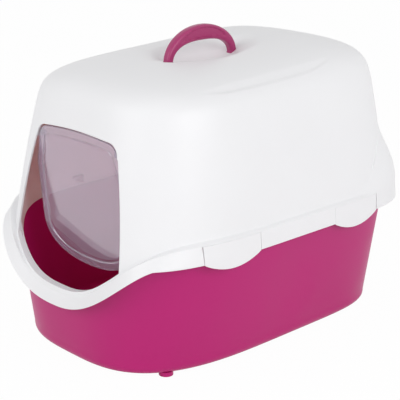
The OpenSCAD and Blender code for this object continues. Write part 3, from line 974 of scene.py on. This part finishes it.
# Thickness of the legs in the handle's plane, height of the grip, and the exponents of the inner
# arch and of the cross section
LEG_TH = 12
GRIP_H = 22.5
INNER_ARCH_P = 0.8
SECTION_P = 0.6
# Width of the legs at their feet and of the grip
LEG_W, GRIP_W = 12, 16
# Inset panel of the grip: half angle, half height as a share, softness of its rim, and depth
PANEL_TURN, PANEL_SHARE, PANEL_SOFT, PANEL_DEPTH = 0.75, 0.66, 0.22, 1.9
# Radius of the leg ends, and radius and end of the pins, from the middle of the box
HUB_R = 6.1
HANDLE_PIN_R = 3
HANDLE_PIN_END = 84


def handle_arch(g, axis_z):
    """Rings of the arch: a superellipse section carried from leg to leg between an outer ellipse
    and a flatter inner arch, wider at the grip and with an inset panel on each side of it."""
    span, rise = g.handle_half_span, g.handle_rise
    q = np.linspace(0, np.pi, 121)[:, None]
    a = np.linspace(0, 2 * np.pi, 48, endpoint=False)[None]
    outer = np.stack([span * np.cos(q), rise * np.sin(q)], -1)
    inner = np.stack([(span - LEG_TH) * spow(np.cos(q), INNER_ARCH_P),
                      (rise - GRIP_H) * np.sin(q) ** INNER_ARCH_P], -1)
    c, s = spow(np.cos(a), SECTION_P), spow(np.sin(a), SECTION_P)
    half_w = mix(LEG_W, GRIP_W, smooth(np.sin(q))) / 2
    p = (outer + inner) / 2 + (outer - inner) / 2 * c[..., None]
    inside = 1 - ((q - np.pi / 2) / PANEL_TURN) ** 2 - (c / PANEL_SHARE) ** 2
    x = (half_w - PANEL_DEPTH * smooth(inside / PANEL_SOFT)) * s
    rows = ring(x, p[..., 0], axis_z + p[..., 1])
    return capped(rows, rows[0].mean(0), rows[-1].mean(0))


class LITTERBOX_OT_handle(Operator):
    """Builds the handle: an arch with a deeper grip, round leg ends and pins"""
    bl_idname = "litterbox.handle"
    bl_label = "Handle"

    def execute(self, context):
        g = millimetres()
        axis_z = HANDLE_AXIS[2] * 1000
        parts = [skin("arch", handle_arch(g, axis_z))]
        leg = g.handle_half_span - LEG_TH
        hub = ((leg - 0.2, 0), (leg - 0.2, HUB_R - 0.9), (leg + 0.6, HUB_R), (leg + 11.6, HUB_R),
               (leg + 12.2, HUB_R - 0.7), (leg + 12.2, 0))
        pin = ((leg + 4, 0), (leg + 4, HANDLE_PIN_R), (HANDLE_PIN_END - 0.8, HANDLE_PIN_R),
               (HANDLE_PIN_END, HANDLE_PIN_R - 0.8), (HANDLE_PIN_END, 0))
        for end in (-1, 1):
            def place(along, b, c):
                return ring(b, end * along, axis_z + c)
            parts.append(skin("hub", revolve(hub, place)))
            parts.append(skin("pin", revolve(pin, place, 32)))
        obj = joined("handle_bow", parts)
        dress(obj, "handle", "handle", "handle")
        return {"FINISHED"}


# ---------------------------------------------------------------- stage

# Half side of the floor in metres, and the share of its own glow in what a viewer sees of it
FLOOR_HALF = 6.0
FLOOR_GLOW = 0.975
# Strength of the world's light on the object; seen directly it is 1, which is white
WORLD_LIGHT = 0.58
# Point that the lamps face, in metres, and the distance and side of the two large lamps
LAMP_AIM = (0.0, 0.0, 0.2)
LAMP_DISTANCE, LAMP_SIDE = 3.0, 1.8
# Camera: angles, distance and look-at point in metres, lens in mm, and shift as a share of the frame
CAMERA_AZIMUTH, CAMERA_ELEVATION = 46.62, 17.32
CAMERA_DISTANCE = 1.6974
CAMERA_AIM = (0.0, 0.0, 0.189)
CAMERA_LENS = 102.24
CAMERA_SHIFT = (-0.001725, -0.020525)


def look_from(azimuth, elevation):
    """Unit vector from the object towards a viewer at those angles, azimuth 0 in front."""
    a, e = math.radians(azimuth), math.radians(elevation)
    return np.array([math.sin(a) * math.cos(e), -math.cos(a) * math.cos(e), math.sin(e)])


def place_facing(obj, aim, azimuth, elevation, distance):
    """Puts a lamp or camera at that distance from aim, turned to face it."""
    way = look_from(azimuth, elevation)
    obj.location = np.array(aim) + way * distance
    obj.rotation_euler = Vector(way).to_track_quat("Z", "Y").to_euler()
    bpy.context.scene.collection.objects.link(obj)


def soft_lamp(name, azimuth, elevation, power, distance=LAMP_DISTANCE, side=LAMP_SIDE,
              tint=(1.0, 1.0, 1.0), seen=True):
    """Square area lamp that faces the middle of the box."""
    lamp = bpy.data.lights.new(name, "AREA")
    lamp.shape, lamp.size, lamp.energy, lamp.color = "SQUARE", side, power, tint
    obj = bpy.data.objects.new(name, lamp)
    place_facing(obj, LAMP_AIM, azimuth, elevation, distance)
    obj.visible_camera = obj.visible_transmission = obj.visible_glossy = seen


def viewing_rays(tree):
    """Socket that is 1 for rays from the camera, a reflection or a transmission, and 0 for light."""
    ray = node(tree, "ShaderNodeLightPath").outputs
    seen = ray["Is Camera Ray"]
    for other in ("Is Transmission Ray", "Is Glossy Ray"):
        seen = node(tree, "ShaderNodeMath", {0: seen, 1: ray[other]}, operation="MAXIMUM").outputs[0]
    return seen


def paper_floor(tint):
    """Floor of matt white paper that shows white and keeps a soft shadow of the object."""
    corners = np.array([[-1, -1, 0], [1, -1, 0], [1, 1, 0], [-1, 1, 0]]) * FLOOR_HALF
    floor = mesh_object("floor", corners, np.array([[0, 1, 2, 3]]), np.empty((0, 3), int))
    mat, tree, out = fresh("Matt white paper")
    part = node(tree, "ShaderNodeMath", {0: viewing_rays(tree), 1: FLOOR_GLOW}, operation="MULTIPLY")
    paper = node(tree, "ShaderNodeBsdfDiffuse", {"Color": shade_of(tint, 1)})
    glow = node(tree, "ShaderNodeEmission", {"Color": (1, 1, 1, 1), "Strength": 1.0})
    both = node(tree, "ShaderNodeMixShader", {0: part.outputs[0], 1: paper.outputs[0], 2: glow.outputs[0]})
    tree.links.new(both.outputs[0], out.inputs["Surface"])
    floor.data.materials.append(mat)
    return floor


def studio_world():
    """World of even white light, white where it is seen and weaker where it lights the object."""
    world = bpy.data.worlds.new("Studio")
    world.use_nodes = True
    tree = world.node_tree
    tree.nodes.clear()
    power = node(tree, "ShaderNodeMapRange", {"Value": viewing_rays(tree), "To Min": WORLD_LIGHT,
                                              "To Max": 1.0})
    light = node(tree, "ShaderNodeBackground", {"Color": (1, 1, 1, 1), "Strength": power.outputs[0]})
    end = node(tree, "ShaderNodeOutputWorld")
    tree.links.new(light.outputs[0], end.inputs["Surface"])
    return world


class LITTERBOX_OT_stage(Operator):
    """Sets the floor, the backdrop light, the lamps and the camera"""
    bl_idname = "litterbox.stage"
    bl_label = "Stage"

    def execute(self, context):
        scene = context.scene
        scene.view_settings.view_transform = "Standard"
        floor = paper_floor(scene.litter_box_colours.floor)
        scene.world = studio_world()
        soft_lamp("key_lamp", azimuth=86, elevation=22, power=30)
        # stands for light that has bounced many times between the magenta walls
        soft_lamp("cabin_lamp", azimuth=0, elevation=90, power=0.24, distance=0.17, side=0.2,
                  tint=(1.0, 0.55, 0.42), seen=False)
        soft_lamp("fill_lamp", azimuth=-10, elevation=25, power=23.5)

        camera = bpy.data.cameras.new("camera")
        camera.sensor_width = 36
        camera.lens = CAMERA_LENS
        camera.shift_x, camera.shift_y = CAMERA_SHIFT
        camera.clip_end = 50
        obj = bpy.data.objects.new("camera", camera)
        place_facing(obj, CAMERA_AIM, CAMERA_AZIMUTH, CAMERA_ELEVATION, CAMERA_DISTANCE)
        scene.camera = obj
        return {"FINISHED"}


class LITTERBOX_PT_panel(Panel):
    """Sidebar panel with the sizes, the colours and a button for each group of pieces."""
    bl_idname = "LITTERBOX_PT_panel"
    bl_label = "Litter box"
    bl_space_type = "VIEW_3D"
    bl_region_type = "UI"
    bl_category = "Litter box"

    def draw(self, context):
        for group in (context.scene.litter_box_sizes, context.scene.litter_box_colours):
            column = self.layout.column(align=True)
            for name in type(group).__annotations__:
                column.prop(group, name)
        for operator in OPERATORS:
            self.layout.operator(operator.bl_idname)


OPERATORS = (LITTERBOX_OT_stage, LITTERBOX_OT_tray, LITTERBOX_OT_hood, LITTERBOX_OT_tabs, LITTERBOX_OT_door,
             LITTERBOX_OT_handle)
CLASSES = (LitterBoxSizes, LitterBoxColours) + OPERATORS + (LITTERBOX_PT_panel,)


def register():
    """Registers the classes and hangs the two property groups on the scene."""
    for cls in CLASSES:
        bpy.utils.register_class(cls)
    bpy.types.Scene.litter_box_sizes = PointerProperty(type=LitterBoxSizes)
    bpy.types.Scene.litter_box_colours = PointerProperty(type=LitterBoxColours)


def unregister():
    """Undoes register."""
    del bpy.types.Scene.litter_box_sizes
    del bpy.types.Scene.litter_box_colours
    for cls in reversed(CLASSES):
        bpy.utils.unregister_class(cls)


def main():
    register()
    for name in ("stage", "tray", "hood", "tabs", "door", "handle"):
        getattr(bpy.ops.litterbox, name)()


if __name__ == "__main__":
    main()
